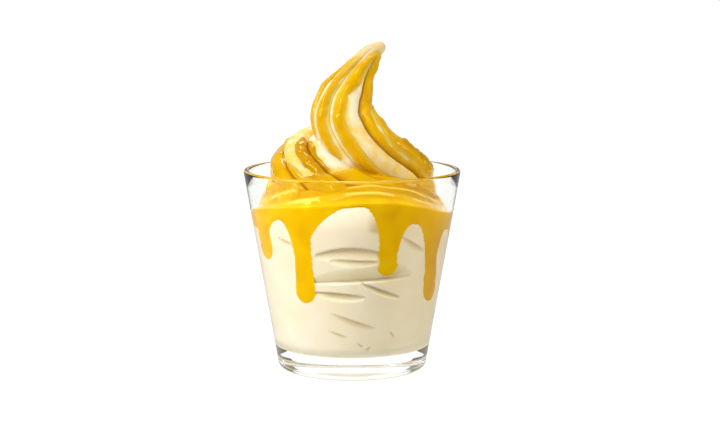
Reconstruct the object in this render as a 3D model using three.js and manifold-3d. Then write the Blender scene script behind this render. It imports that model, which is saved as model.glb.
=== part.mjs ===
// A soft-serve sundae in a conical glass tumbler: vanilla ice cream fills the tumbler and rises
// above it as one fluted, coiled swirl with a pulled-over tip, and thick mango sauce lies over the
// swirl, pools on the shoulder and runs down in drips between the ice cream and the glass.
//
// Millimetres, +Z up. The origin is the centre of the tumbler's foot, on the surface it stands on.
// The front is -Y: the tip leans towards +X. Azimuths are in degrees from the front, positive
// towards +X.
import * as THREE from "three";
import { mergeVertices } from "three/addons/utils/BufferGeometryUtils.js";
import Module from "manifold-3d";

const wasm = await Module();
wasm.setup();

// ---------------------------------------------------------------- driving dimensions

const GLASS = {
  height: 80.8,
  rimRadius: 43.9, // outside, just below the lip
  footRadius: 29.9, // where the wall's straight line meets the table
  heelRadius: 28.2, // outer edge of the ring it stands on
  heelHeight: 3.4,
  ringInner: 22.5,
  punt: 1.4, // how far the underside rises inside the ring
  wallTop: 2.1,
  wallBottom: 3.2,
  floor: 9.2,
  floorFillet: 4.0,
  sides: 48,
};
const GAP = 0.35; // clearance between neighbouring pieces

const FILL = {
  belowPool: 3.2, // from the sauce's edge on the wall to the ice cream's
  crown: 90, // the filling's height under the horn
};

// The grooves between the rope's lobes: degrees round it, and depth as a share of its radius.
const GROOVES = [
  { angle: -68, depth: 0.17 },
  { angle: -27, depth: 0.2 },
  { angle: 41, depth: 0.36 },
  { angle: 104, depth: 0.27 },
  { angle: 152, depth: 0.25 },
  { angle: 200, depth: 0.3 },
  { angle: 246, depth: 0.22 },
];

const SAUCE = {
  dripThickness: 1.5,
  coatThickness: 0.9, // on the swirl
};

// ---------------------------------------------------------------- small helpers

const radians = (degrees) => (degrees * Math.PI) / 180;
const mix = (a, b, t) => a + (b - a) * t;
const clamp = (t, low = 0, high = 1) => Math.min(high, Math.max(low, t));
const smooth = (a, b, t) => {
  const s = clamp((t - a) / (b - a));
  return s * s * (3 - 2 * s);
};
const range = (n) => Array.from({ length: n }, (_, i) => i);

// A closed skin through rings of points, with a single point at each end.
function skin(first, rings, last) {
  const around = rings[0].length;
  const points = [first, ...rings.flat(), last];
  const triangles = [];
  const at = (i, j) => 1 + i * around + ((j + around) % around);
  for (const j of range(around)) {
    triangles.push(0, at(0, j + 1), at(0, j));
    triangles.push(points.length - 1, at(rings.length - 1, j), at(rings.length - 1, j + 1));
    for (const i of range(rings.length - 1)) {
      triangles.push(at(i, j), at(i, j + 1), at(i + 1, j));
      triangles.push(at(i, j + 1), at(i + 1, j + 1), at(i + 1, j));
    }
  }
  const geometry = new THREE.BufferGeometry().setFromPoints(points);
  return geometry.setIndex(triangles);
}

// A closed ring of closed sections.
function loop(rings) {
  const around = rings[0].length;
  const at = (i, j) => ((i + rings.length) % rings.length) * around + ((j + around) % around);
  const triangles = [];
  for (const i of range(rings.length)) {
    for (const j of range(around)) {
      triangles.push(at(i, j), at(i + 1, j), at(i, j + 1));
      triangles.push(at(i, j + 1), at(i + 1, j), at(i + 1, j + 1));
    }
  }
  return new THREE.BufferGeometry().setFromPoints(rings.flat()).setIndex(triangles);
}

function solidOf(geometry) {
  const bare = geometry.clone();
  bare.deleteAttribute("normal");
  bare.deleteAttribute("uv");
  const merged = mergeVertices(bare, 1e-4);
  return new wasm.Manifold(
    new wasm.Mesh({
      numProp: 3,
      vertProperties: merged.attributes.position.array,
      triVerts: new Uint32Array(merged.index.array),
    }),
  );
}

function geometryOf(solid) {
  const { numProp, numVert, vertProperties, triVerts } = solid.getMesh();
  const positions = new Float32Array(numVert * 3);
  for (const i of range(numVert))
    positions.set(vertProperties.subarray(i * numProp, i * numProp + 3), i * 3);
  const geometry = new THREE.BufferGeometry();
  geometry.setAttribute("position", new THREE.BufferAttribute(positions, 3));
  geometry.setIndex(new THREE.BufferAttribute(triVerts, 1));
  geometry.computeVertexNormals();
  return geometry;
}

// The largest of a solid's separate bodies: loose scraps are dropped.
const largest = (solid) =>
  solid.decompose().reduce((a, b) => (a.volume() > b.volume() ? a : b));

// A cut solid's geometry with its vertices on a fine grid, without the slivers that this flattens.
const GRID = 0.01;

function tidied(solid) {
  const geometry = geometryOf(solid);
  geometry.deleteAttribute("normal");
  const positions = geometry.attributes.position.array;
  for (const i of range(positions.length)) positions[i] = Math.round(positions[i] / GRID) * GRID;
  const merged = mergeVertices(geometry, GRID / 10);
  const corners = merged.index.array;
  const faces = new Map();
  for (const i of range(corners.length / 3)) {
    const face = [...corners.slice(3 * i, 3 * i + 3)];
    if (new Set(face).size < 3) continue;
    const key = [...face].sort((a, b) => a - b).join();
    if (faces.has(key)) faces.delete(key);
    else faces.set(key, face);
  }
  merged.setIndex([...faces.values()].flat());
  return geometryOf(largest(solidOf(merged)));
}

// ---------------------------------------------------------------- the tumbler

const outerRadius = (z) =>
  mix(GLASS.footRadius, GLASS.rimRadius, z / GLASS.height);
const wallAt = (z) => mix(GLASS.wallBottom, GLASS.wallTop, clamp(z / GLASS.height));
const innerRadius = (z) => {
  const straight = outerRadius(z) - wallAt(z);
  const rise = z - GLASS.floor;
  if (rise >= GLASS.floorFillet) return straight;
  const drop = 1 - clamp(rise / GLASS.floorFillet);
  return straight - GLASS.floorFillet * (1 - Math.sqrt(1 - drop * drop));
};

function tumbler() {
  const outline = [];
  const add = (r, z) => outline.push(new THREE.Vector2(r, z));
  add(0, GLASS.punt);
  add(GLASS.ringInner * 0.6, GLASS.punt * 0.86);
  add(GLASS.ringInner, 0);
  add(GLASS.heelRadius, 0);
  for (const t of [0.35, 0.7, 1]) {
    const angle = (t * Math.PI) / 2;
    add(
      mix(GLASS.heelRadius, outerRadius(GLASS.heelHeight), Math.sin(angle)),
      GLASS.heelHeight * (1 - Math.cos(angle)),
    );
  }
  const lip = GLASS.wallTop / 2;
  const lipHeight = GLASS.height - lip;
  for (const t of range(5)) {
    const angle = (t / 4) * Math.PI;
    add(outerRadius(lipHeight) - lip * (1 - Math.cos(angle)), lipHeight + lip * Math.sin(angle));
  }
  for (const t of range(5)) {
    const z = GLASS.floor + GLASS.floorFillet * (1 - Math.sin((t / 4) * (Math.PI / 2)));
    add(innerRadius(z), z);
  }
  add(0, GLASS.floor);
  return new THREE.LatheGeometry(outline, GLASS.sides);
}

// ---------------------------------------------------------------- sauce against the glass

// Drips in order round the tumbler: azimuth, height of the tip, half width of the run and of its
// bead, and the arch that follows: its peak's azimuth and height, and how sharply it bends down on
// its near and far side.
const DRIPS = [
  { azimuth: -63.5, tip: 46.2, run: 4.6, bead: 4.4, peak: -45.5, top: 63.4, near: 2.0, far: 2.6 },
  { azimuth: -30.4, tip: 30.8, run: 3.9, bead: 4.7, peak: 1.5, top: 70.6, near: 1.6, far: 3.0 },
  { azimuth: 22.2, tip: 42.8, run: 4.0, bead: 3.8, peak: 37.5, top: 62.3, near: 2.6, far: 2.2 },
  { azimuth: 56.4, tip: 29.0, run: 3.4, bead: 4.6, peak: 71, top: 57.4, near: 2.6, far: 2.4 },
  { azimuth: 88, tip: 44, run: 4.4, bead: 4.4, peak: 102, top: 60, near: 2.2, far: 2.2 },
  { azimuth: 118, tip: 35, run: 3.9, bead: 4.6, peak: 134, top: 60, near: 1.8, far: 2.4 },
  { azimuth: 149, tip: 49, run: 3.8, bead: 4.2, peak: 168, top: 58.6, near: 2.4, far: 2.0 },
  { azimuth: 184, tip: 27, run: 4.1, bead: 4.8, peak: 200, top: 60.6, near: 2.4, far: 1.8 },
  { azimuth: 218, tip: 43, run: 4.0, bead: 4.3, peak: 240, top: 59, near: 1.8, far: 2.4 },
  { azimuth: 262, tip: 37, run: 4.2, bead: 4.7, peak: 281, top: 58, near: 2.4, far: 2.2 },
];
const ARCH_DROP = 13.5; // from an arch's peak to where it meets the drips' straight sides
const FEET = 55; // the arches' feet are spaced by the drips' widths at this height

const halfTurn = (run, z) => ((run / innerRadius(z)) * 180) / Math.PI;
const footHeight = (top, { tip, bead }) => Math.max(top - ARCH_DROP, tip + 2 * bead);

// Each arch leaves one drip at its near foot and reaches the next at its far foot.
const ARCHES = DRIPS.map((drip, k) => {
  const next = DRIPS[(k + 1) % DRIPS.length];
  const turn = k + 1 < DRIPS.length ? 0 : 360;
  return {
    ...drip,
    from: drip.azimuth + halfTurn(drip.run, FEET),
    to: next.azimuth + turn - halfTurn(next.run, FEET),
    nearFoot: footHeight(drip.top, drip),
    farFoot: footHeight(drip.top, next),
  };
});

const archEdge = (arch, azimuth) => {
  const { peak, top } = arch;
  if (azimuth < peak)
    return top - (top - arch.nearFoot) * Math.pow((peak - azimuth) / (peak - arch.from), arch.near);
  return top - (top - arch.farFoot) * Math.pow((azimuth - peak) / (arch.to - peak), arch.far);
};

const POOL = {
  swirlEdge: { radius: 21, height: 77 }, // where it meets the swirl, inside the rope
  shoulder: 0.35, // how far in from the wall its shoulder is
  core: [15, 70], // its inner corner, in the middle of the ice cream
  curtainInset: 2.6, // from the wall to the curtain's inner side at the top
};

// Heights of the pooled sauce: against the glass and against the swirl, higher at the front, and how
// far up from the one to the other it stands on the pool's shoulder.
const wave = (size, times, azimuth) => size * Math.cos(radians(times * azimuth));
const poolAtWall = (azimuth) =>
  67.2 + wave(3.8, 1, azimuth) + wave(2, 2, azimuth) + wave(0.7, 4, azimuth - 22.5);
const poolAtSwirl = (azimuth) =>
  POOL.swirlEdge.height + wave(1.2, 1, azimuth - 30) + wave(0.9, 3, azimuth - 30);
const poolShoulder = (azimuth) => 0.5 + wave(0.2, 1, azimuth + 60);

const around = (azimuth, r, z) =>
  new THREE.Vector3(r * Math.sin(radians(azimuth)), -r * Math.cos(radians(azimuth)), z);

const COLLAR_STEPS = [0, 0.16, 0.42, 0.7, 0.91, 1];

// The pool on the filling's shoulder, with the curtain that hangs from it as far as the arches.
function collar(grow) {
  const columns = [];
  for (const arch of ARCHES) {
    for (const s of COLLAR_STEPS) {
      const azimuth = mix(arch.from, arch.to, s);
      columns.push({ azimuth, edge: archEdge(arch, azimuth) });
    }
  }
  const thickness = SAUCE.dripThickness;
  const rings = columns.map(({ azimuth, edge }) => {
    const wall = poolAtWall(azimuth);
    const swirl = poolAtSwirl(azimuth);
    const lowest = Math.min(edge + 1.2, wall - 1.6); // of the curtain's inner side
    const outside = (z) => innerRadius(z) - GAP + grow;
    const section = [
      [outside(edge) - 0.2 - grow, edge - grow],
      [outside(mix(edge, wall, 0.4)), mix(edge, wall, 0.4)],
      [outside(wall - 1), wall - 1],
      [outside(wall) - 1.2, wall + grow],
      [
        mix(outside(wall), POOL.swirlEdge.radius, POOL.shoulder),
        mix(wall, swirl, poolShoulder(azimuth)) + grow,
      ],
      [POOL.swirlEdge.radius, swirl + grow],
      POOL.core,
      [outside(wall) - POOL.curtainInset - 2 * grow, Math.max(wall - 3, lowest) - grow],
      [outside(edge) - thickness - 2 * grow, lowest - grow],
    ];
    return section.map(([r, z]) => around(azimuth, r, z));
  });
  return solidOf(loop(rings));
}

const DRIP_ROWS = [-1, -0.9, -0.62, -0.2, 0.5, 1.5];
const DRIP_SECTION = [[-1, 0], [-0.4, 0], [0.4, 0], [1, 0], [0.75, 0.7], [0, 1], [-0.75, 0.7]];

const DRIP_INSET = 0.15; // keeps a drip's outer face inside the curtain's

// One drip, flat against the glass and rounded on the ice cream's side.
function drip(k, grow) {
  const { azimuth, tip, run, bead, nearFoot } = ARCHES[k];
  const head = Math.max(nearFoot, ARCHES.at(k - 1).farFoot) + 4;
  const heights = DRIP_ROWS.map((s) => tip + bead + s * (bead + (s < 0 ? grow : 0)));
  const rings = [...heights, head].map((z) => {
    const below = Math.max(0, (tip + bead - z) / (bead + grow));
    const swell = Math.exp(-(((z - tip - bead) / (1.5 * bead)) ** 2));
    const half = (mix(run, bead, swell) + grow) * Math.sqrt(Math.max(0.02, 1 - below ** 2));
    const thickness = SAUCE.dripThickness + 0.5 * swell + 2 * grow;
    return DRIP_SECTION.map(([across, inward]) => {
      const turned = azimuth + halfTurn(across * half, z);
      const depth = DRIP_INSET + inward * thickness * Math.min(1, half / run + 0.2);
      return around(turned, innerRadius(z) - GAP + grow - depth, z);
    });
  });
  const cap = (ring) =>
    ring.reduce((sum, p) => sum.add(p), new THREE.Vector3()).divideScalar(ring.length);
  return solidOf(skin(cap(rings[0]), rings, cap(rings.at(-1))));
}

const wallSauce = (grow) => range(DRIPS.length).reduce((all, k) => all.add(drip(k, grow)), collar(grow));

// ---------------------------------------------------------------- the filling in the glass

// Hollows where the folded ice cream stands off the glass: azimuth and height of the middle, half
// length in degrees, half height, slope in mm of height for each degree, and depth.
const POCKETS = [
  { azimuth: -2, z: 54.6, half: 19, tall: 2.4, slope: 0.03, depth: 1.6 },
  { azimuth: 0, z: 48.0, half: 20, tall: 2.0, slope: -0.02, depth: 1.0 },
  { azimuth: 6, z: 41.0, half: 32, tall: 2.6, slope: 0.02, depth: 1.8 },
  { azimuth: 130, z: 41, half: 22, tall: 2.6, slope: 0.04, depth: 1.7 },
  { azimuth: 170, z: 50, half: 22, tall: 2.4, slope: -0.05, depth: 1.5 },
  { azimuth: 205, z: 33, half: 26, tall: 2.6, slope: 0.05, depth: 1.6 },
  { azimuth: 238, z: 37, half: 18, tall: 2.2, slope: -0.06, depth: 1.4 },
];

function pocketDepth(azimuth, z) {
  let depth = 0;
  for (const pocket of POCKETS) {
    const turned = ((azimuth - pocket.azimuth + 540) % 360) - 180;
    const along = turned / pocket.half;
    const across = (z - pocket.z - pocket.slope * turned) / pocket.tall;
    const reach = 1 - along * along;
    if (reach > 0) depth = Math.max(depth, pocket.depth * reach * Math.exp(-across * across));
  }
  return depth;
}

const FILL_ROWS = [10.4, 13.2, 31, 37.5, 41, 44.5, 47.5, 51, 54.5, 58.5];
const FILL_COLUMNS = [...range(24).map((j) => -60 + 5 * j), ...range(24).map((j) => 60 + 10 * j)];

function filling(grow) {
  const bottom = GLASS.floor + GAP;
  const level = (a) => poolAtWall(a) - FILL.belowPool + grow;
  const side = (a, z) => innerRadius(z) - GAP + grow;
  const ring = (r, z) => FILL_COLUMNS.map((a) => around(a, r(a), z(a)));
  const rings = [ring(() => innerRadius(bottom) - 1.6, () => bottom - grow)];
  for (const z of FILL_ROWS) rings.push(ring((a) => side(a, z) - pocketDepth(a, z), () => z));
  rings.push(ring((a) => side(a, level(a)) - 0.4, (a) => level(a) - 0.8));
  rings.push(ring((a) => side(a, level(a)) - 1.8, level));
  rings.push(ring(() => 20, () => 74 + grow));
  rings.push(ring(() => 7, () => FILL.crown - 2 + grow));
  return solidOf(skin(around(0, 0, bottom - grow), rings, around(0, 0, FILL.crown + grow)));
}

// ---------------------------------------------------------------- the rope of the swirl

// The rope's middle line from its buried end: a turn of a coil, as azimuth, distance from the axis,
// height and the rope's radius.
const COIL = [
  [480, 20, 57, 11],
  [450, 23, 64.5, 13],
  [420, 22, 65, 13.2],
  [390, 21.5, 66.4, 13.4],
  [360, 20.5, 69.4, 13.8],
  [330, 18.8, 73.8, 14.8],
  [300, 17.6, 77.4, 15.4],
  [270, 17, 80, 15.4],
  [240, 15.4, 82.4, 15.4],
  [180, 16.5, 81.6, 14.6],
  [120, 18, 78.4, 13.2],
];
const COIL_STEP = 30;

function coilPlaces() {
  const found = [];
  const last = COIL.length - 1;
  for (let azimuth = COIL[0][0]; azimuth >= COIL[last][0]; azimuth -= COIL_STEP) {
    const k = Math.min(last - 1, COIL.findLastIndex((row) => row[0] >= azimuth));
    const share = (COIL[k][0] - azimuth) / (COIL[k][0] - COIL[k + 1][0]);
    const [r, z, radius] = [1, 2, 3].map((i) => mix(COIL[k][i], COIL[k + 1][i], share));
    found.push({ centre: around(azimuth, r, z), radius });
  }
  return found;
}

// Then the bend into the horn and up its middle: across, towards the back, height and radius.
const HORN = [
  [20.2, -1.0, 76.0, 12.0],
  [12.8, -7.6, 81.8, 12.8],
  [5.4, -10.6, 88.2, 13.2],
  [-0.2, -8.6, 95.2, 13.4],
  [-3.2, -6.2, 101.8, 13.0],
  [-3.0, -4.0, 108.2, 11.2],
  [-0.8, -2.4, 113.6, 9.2],
  [1.8, -1.4, 118.8, 6.7],
  [4.6, -0.8, 122.9, 5.3],
  [7.8, -0.4, 127.0, 4.0],
  [10.8, -0.2, 129.2, 2.8],
  [13.3, -0.2, 130.4, 1.6],
];

const places = [
  ...coilPlaces(),
  ...HORN.map(([x, y, z, radius]) => ({ centre: new THREE.Vector3(x, y, z), radius })),
];
const middle = new THREE.CatmullRomCurve3(places.map((p) => p.centre), false, "centripetal");
const lastPlace = places.length - 1;

function ropeRadius(t) {
  const place = t * lastPlace;
  const i = Math.min(lastPlace - 1, Math.floor(place));
  const f = place - i;
  const [a, b, c, d] = [-1, 0, 1, 2].map((k) => places[clamp(i + k, 0, lastPlace)].radius);
  const square = 2 * a - 5 * b + 4 * c - d;
  const cube = 3 * b - a - 3 * c + d;
  return (2 * b + (c - a) * f + square * f ** 2 + cube * f ** 3) / 2;
}

// How far the lobes turn about the rope on the way down from the horn and round the coil.
const HORN_BASE = 14; // the place where the horn leaves the coil
const COIL_FRONT = 6.8; // the place where the coil comes round to the left
const COIL_TWIST = 19.5; // degrees for each place before that
const twist = (place) => {
  const bend = smooth(HORN_BASE + 2.2, HORN_BASE - 1.4, place);
  const turn = smooth(HORN_BASE - 1.4, HORN_BASE - 7, place);
  return radians(-54 * bend - 59 * turn + COIL_TWIST * Math.min(0, place - COIL_FRONT));
};

// The rope's cross-section, rounded lobes between sharp grooves, as a share of its radius.
const grooveRows = [...GROOVES, { angle: GROOVES[0].angle + 360, depth: GROOVES[0].depth }];

function lobed(angle, share) {
  const start = GROOVES[0].angle;
  const turned = (((angle - start) % 360) + 360) % 360 + start;
  const k = grooveRows.findLastIndex((groove) => groove.angle <= turned);
  const [from, to] = [grooveRows[k], grooveRows[k + 1]];
  const s = (turned - from.angle) / (to.angle - from.angle);
  const depth = share * mix(from.depth, to.depth, s);
  return 1 - depth * (1 - Math.sqrt(Math.max(0, 4 * s * (1 - s))));
}

const SECTION_STEPS = [0, 0.14, 0.5, 0.86];
const WIDE_LOBE = 65; // degrees
const WIDE_STEPS = [0, 0.14, 0.32, 0.5, 0.68, 0.86];
const sectionAngles = GROOVES.flatMap(({ angle }, k) => {
  const next = grooveRows[k + 1].angle;
  const steps = next - angle > WIDE_LOBE ? WIDE_STEPS : SECTION_STEPS;
  return steps.map((s) => mix(angle, next, s));
});

function ropeFrame(t) {
  const centre = middle.getPoint(t);
  const tangent = middle.getTangent(t);
  const outward = new THREE.Vector3(centre.x, centre.y, 0).normalize();
  const front = new THREE.Vector3(0, -1, 0);
  const one = outward.lerp(front, smooth(HORN_BASE - 0.5, HORN_BASE + 3, t * lastPlace));
  one.addScaledVector(tangent, -one.dot(tangent)).normalize();
  const two = new THREE.Vector3().crossVectors(tangent, one);
  return { centre, one, two };
}

function ropeRing(t, offset) {
  const { centre, one, two } = ropeFrame(t);
  const place = t * lastPlace;
  const radius = ropeRadius(t);
  const share = smooth(lastPlace, lastPlace - 1.7, place);
  return sectionAngles.map((angle) => {
    const turned = radians(angle) + twist(place);
    const bare = radius * lobed(angle, share);
    const direction = one.clone().multiplyScalar(Math.cos(turned)).addScaledVector(two, Math.sin(turned));
    const surface = centre.clone().addScaledVector(direction, bare);
    return surface.addScaledVector(direction, offset(place, angle, surface, radius));
  });
}

// Where the rope's sections lie along its places, closer together up the horn.
const SECTIONS = [
  ...range(20).map((i) => 0.3 + (i * 2) / 3),
  ...range(20).map((i) => 13.5 + i * 0.5),
  23.4, 23.8, 24,
];

// A stretch of the rope as its own closed solid, ending in a point inside the next stretch.
function ropeStretch(from, to, offset) {
  const rings = SECTIONS.slice(from, to + 1).map((place) => ropeRing(place / lastPlace, offset));
  const ending = (k) => middle.getPoint(clamp(SECTIONS[clamp(k, 0, SECTIONS.length - 1)] / lastPlace));
  return skin(ending(from - 1), rings, ending(to + 1));
}

const CUTS = [0, 10, 20, SECTIONS.length - 1];

function rope(offset) {
  const stretches = range(CUTS.length - 1).map((k) =>
    solidOf(ropeStretch(CUTS[k], CUTS[k + 1], offset)),
  );
  return stretches.reduce((a, b) => a.add(b));
}

// ---------------------------------------------------------------- sauce on the swirl

// Where the sauce lies on the rope above the pool: place along it from its buried end, and the
// angles round it of the sauce's two edges.
const STREAMS = [
  [[16.6, -100, -64], [19.5, -88, -56], [20.4, -80, -48], [21.4, -70, -20]],
  [[15.2, -50, -34], [17, -56, -29], [20, -48, -30], [20.8, -60, -10], [21.4, -60, -10]],
  [[12.4, -16, 0], [15, -18, 6], [18, -12, 6], [19.4, -16, 24], [20.5, -20, 26], [23.2, 22, 70]],
  [[12.4, 38, 58], [15, 38, 58], [17, 38, 66], [18, 38, 90], [20.5, 34, 110], [22.8, 50, 110]],
  [[11.5, 62, 130], [14, 64, 140], [15, 66, 125], [15.6, 72, 100]],
  [[15.2, 118, 134], [18, 112, 130], [20.5, 100, 136], [22.4, 90, 140]],
  [[15.2, 162, 182], [18, 162, 188], [21, 140, 196], [22.4, 120, 206]],
  [[15.8, 214, 232], [18, 212, 236], [20.4, 206, 240], [21.4, 180, 240]],
  [[4.8, 182, 206], [5.7, 180, 210], [6.6, 184, 206], [7.2, 190, 202]],
  [[5, 122, 164], [7, 118, 168], [8, 112, 168], [10, 100, 150]],
];
const PLACE_LENGTH = 8; // mm of rope from one place to the next

// How high the poured sauce covers the coil: less high on the rope's last turn.
const coatEdge = (place, azimuth) => {
  const wave = 2.5 * Math.cos(radians(azimuth - 60)) + 1.6 * Math.sin(radians(3 * azimuth + 20));
  return 82.5 + wave - 14 * smooth(11.5, 13, place);
};

function edgesAt(stream, place) {
  const last = stream.length - 1;
  const k = clamp(stream.findLastIndex(([from]) => from <= place), 0, last - 1);
  const share = clamp((place - stream[k][0]) / (stream[k + 1][0] - stream[k][0]));
  return [1, 2].map((i) => mix(stream[k][i], stream[k + 1][i], share));
}

// Signed distance in mm to the sauce's edge on the rope, negative inside.
function ropeSauce(place, angle, point, radius) {
  const azimuth = (Math.atan2(point.x, -point.y) * 180) / Math.PI;
  let distance = point.z - coatEdge(place, azimuth);
  for (const stream of STREAMS) {
    const [low, high] = edgesAt(stream, place);
    const turned = ((((angle - (low + high) / 2) % 360) + 540) % 360) - 180;
    const across = radians(Math.abs(turned) - (high - low) / 2) * radius;
    const along = Math.max(stream[0][0] - place, place - stream.at(-1)[0]) * PLACE_LENGTH;
    distance = Math.min(distance, Math.max(across, along));
  }
  return distance;
}

const EDGE_SLOPE = 0.45; // how steeply the sauce thins towards its edge
const BELOW_EDGE = -0.6; // it dips into the ice cream outside its edge

const coat = (place, angle, point, radius) =>
  clamp(
    GAP - EDGE_SLOPE * ropeSauce(place, angle, point, radius),
    BELOW_EDGE,
    GAP + SAUCE.coatThickness,
  );

// ---------------------------------------------------------------- the pieces

const swirl = rope(() => 0);
const swirlGrown = rope(() => GAP).add(swirl);
const sauceOnSwirl = rope(coat);
const cream = filling(0).subtract(wallSauce(GAP)).add(swirl);
const sauce = wallSauce(0).add(sauceOnSwirl.subtract(filling(GAP))).subtract(swirlGrown);

const finishes = {
  glass: new THREE.MeshStandardMaterial({
    color: 0xf4f7f5,
    roughness: 0.03,
    metalness: 0,
    transparent: true,
    opacity: 0.3,
  }),
  cream: new THREE.MeshStandardMaterial({ color: 0xf6edd2, roughness: 0.55, metalness: 0 }),
  sauce: new THREE.MeshStandardMaterial({ color: 0xf2b705, roughness: 0.18, metalness: 0 }),
};

const sundae = new THREE.Group();
const place = (name, geometry, material) => {
  const mesh = new THREE.Mesh(geometry, material);
  mesh.name = name;
  sundae.add(mesh);
  return mesh;
};

place("glass_tumbler", tumbler(), finishes.glass).rotation.x = Math.PI / 2;
place("ice_cream", tidied(largest(cream)), finishes.cream);
place("mango_sauce", tidied(largest(sauce)), finishes.sauce);

export default sundae;
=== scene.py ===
"""A soft-serve sundae in a clear conical tumbler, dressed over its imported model.

Lengths are millimetres, apart from those of the lamps and the camera, which are metres, and heights
are above the table. Azimuths are degrees from the front, which is -Y, and grow towards +X, where the
tip of the swirl leans.

The tumbler is an outline turned by Geometry Nodes. The ice cream is the filling in the glass joined
with a fluted rope, which lies in a coil and ends in a horn. The sauce is a collar with drips
against the glass, and a coat that lies in streams on the same rope.
"""
import itertools
import math

import bpy
import numpy as np
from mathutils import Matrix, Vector


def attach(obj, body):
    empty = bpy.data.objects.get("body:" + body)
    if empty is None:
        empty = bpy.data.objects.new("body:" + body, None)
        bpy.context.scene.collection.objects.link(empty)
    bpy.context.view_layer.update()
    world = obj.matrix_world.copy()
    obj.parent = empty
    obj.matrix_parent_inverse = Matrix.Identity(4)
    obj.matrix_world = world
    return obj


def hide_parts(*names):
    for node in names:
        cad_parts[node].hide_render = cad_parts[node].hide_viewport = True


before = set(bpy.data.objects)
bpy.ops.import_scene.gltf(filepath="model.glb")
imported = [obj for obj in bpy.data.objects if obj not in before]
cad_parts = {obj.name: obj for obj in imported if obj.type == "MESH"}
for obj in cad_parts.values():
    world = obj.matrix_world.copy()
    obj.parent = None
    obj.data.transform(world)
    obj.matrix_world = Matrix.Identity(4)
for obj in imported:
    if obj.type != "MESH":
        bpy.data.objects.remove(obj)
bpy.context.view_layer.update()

MM = 0.001


# ---------------------------------------------------------------- sizes of the real thing

GLASS = dict(
    height=80.8, sides=192,
    rim_radius=43.9,          # of the wall's outer line at the top, before the lip rounds it off
    foot_radius=29.9, heel_radius=28.2, heel_height=3.4,
    ring_inner=22.5, ring_bevel=0.5, heel_bevel=0.4, punt=1.4, punt_power=2.6,
    wall_top=2.1, wall_bottom=3.2, floor=9.2, floor_fillet=4.0,
)
WETTING = 0.10                # how far the contents reach into the glass, so that no air is left between

FILL_BELOW_POOL = 2.0         # from the sauce's edge on the wall down to the ice cream's
FILL_CROWN = 90.0             # the filling's top, inside the swirl
SAUCE_THICKNESS = 1.5         # against the glass
SAUCE_PROUD = 0.05            # how far the sauce lies in front of the ice cream at the glass
COAT_THICKNESS = 1.0          # on the swirl
COAT_SLOPE = 2.4              # from the coat's edge to where it is at its full thickness
GLAZE_REACH = 2.2             # how far a stain of sauce reaches past its edge


# ---------------------------------------------------------------- numbers and noise

def mix(a, b, t):
    """From a to b as t goes from 0 to 1."""
    return a + (b - a) * t


def smooth(a, b, t):
    """0 below a and 1 above b, with a soft rise between."""
    s = np.clip((np.asarray(t, float) - a) / (b - a), 0, 1)
    return s * s * (3 - 2 * s)


def hump(t):
    """1 at 0, falling to nothing about two to each side."""
    return np.exp(-t ** 2)


def around(azimuth, r, z):
    """Points at an azimuth in degrees, a distance from the axis and a height."""
    turn = np.radians(azimuth)
    return np.stack(np.broadcast_arrays(r * np.sin(turn), -r * np.cos(turn), z), -1)


def azimuth_of(points):
    return np.degrees(np.arctan2(points[..., 0], -points[..., 1]))


def within_half_turn(angle):
    """The same angle between -180 and 180."""
    return (angle + 180) % 360 - 180


def table(columns, rows):
    """Rows of numbers, each as a dictionary under the columns' names."""
    return [dict(zip(columns.split(), row)) for row in rows]


# Large odd numbers that scramble a cell's place, and the shift from one seed's noise to the next.
SCRAMBLE = (73856093, 19349663, 83492791, 2971215073, 1274126177)
SEED_SHIFT = 31.7


def cell_value(x, y, z, seed):
    """A number from -1 to 1 that looks random and is always the same for the same cell."""
    n = x * SCRAMBLE[0] ^ y * SCRAMBLE[1] ^ z * SCRAMBLE[2] + seed * SCRAMBLE[3]
    n = (n ^ (n >> 13)) * SCRAMBLE[4]
    return ((n ^ (n >> 16)) & 0xFFFF) / 32767.5 - 1


def noise(points, size, seed):
    """Smooth noise from -1 to 1, with lumps about `size` mm across."""
    p = np.asarray(points) / size + SEED_SHIFT * seed
    cell = np.floor(p).astype(np.int64)
    f = p - cell
    f = f * f * (3 - 2 * f)
    total = 0
    for corner in itertools.product((0, 1), repeat=3):
        share = np.prod(np.where(corner, f, 1 - f), axis=-1)
        total = total + cell_value(*np.moveaxis(cell + corner, -1, 0), seed) * share
    return total


# ---------------------------------------------------------------- meshes

def linked(name, mesh):
    made = bpy.data.objects.new(name, mesh)
    bpy.context.scene.collection.objects.link(made)
    return made


def mesh_object(name, points, faces):
    mesh = bpy.data.meshes.new(name)
    mesh.from_pydata((np.asarray(points) * MM).tolist(), [], faces)
    mesh.validate()
    return linked(name, mesh)


def skin(name, first, rings, last):
    """A closed surface through rings of points, with a single point at each end."""
    rings = np.asarray(rings, float)
    count, turn = rings.shape[:2]
    points = np.concatenate([[first], rings.reshape(-1, 3), [last]])
    at = 1 + np.arange(count * turn).reshape(count, turn)
    on = np.roll(at, -1, axis=1)
    quads = np.stack([at[:-1], on[:-1], on[1:], at[1:]], -1).reshape(-1, 4)
    low = [(0, int(b), int(a)) for a, b in zip(at[0], on[0])]
    high = [(len(points) - 1, int(a), int(b)) for a, b in zip(at[-1], on[-1])]
    return mesh_object(name, points, quads.tolist() + low + high)


def loop(name, rings):
    """A closed ring of closed sections."""
    rings = np.asarray(rings, float)
    at = np.arange(rings.shape[0] * rings.shape[1]).reshape(rings.shape[:2])
    on = np.roll(at, -1, axis=1)
    quads = np.stack([at, np.roll(at, -1, axis=0), np.roll(on, -1, axis=0), on], -1)
    return mesh_object(name, rings.reshape(-1, 3), quads.reshape(-1, 4).tolist())


def three_for_each(items, what):
    """A row of three numbers for each point or face of a mesh."""
    found = np.zeros(len(items) * 3)
    items.foreach_get(what, found)
    return found.reshape(-1, 3)


def positions(made):
    return three_for_each(made.data.vertices, "co") / MM


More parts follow.
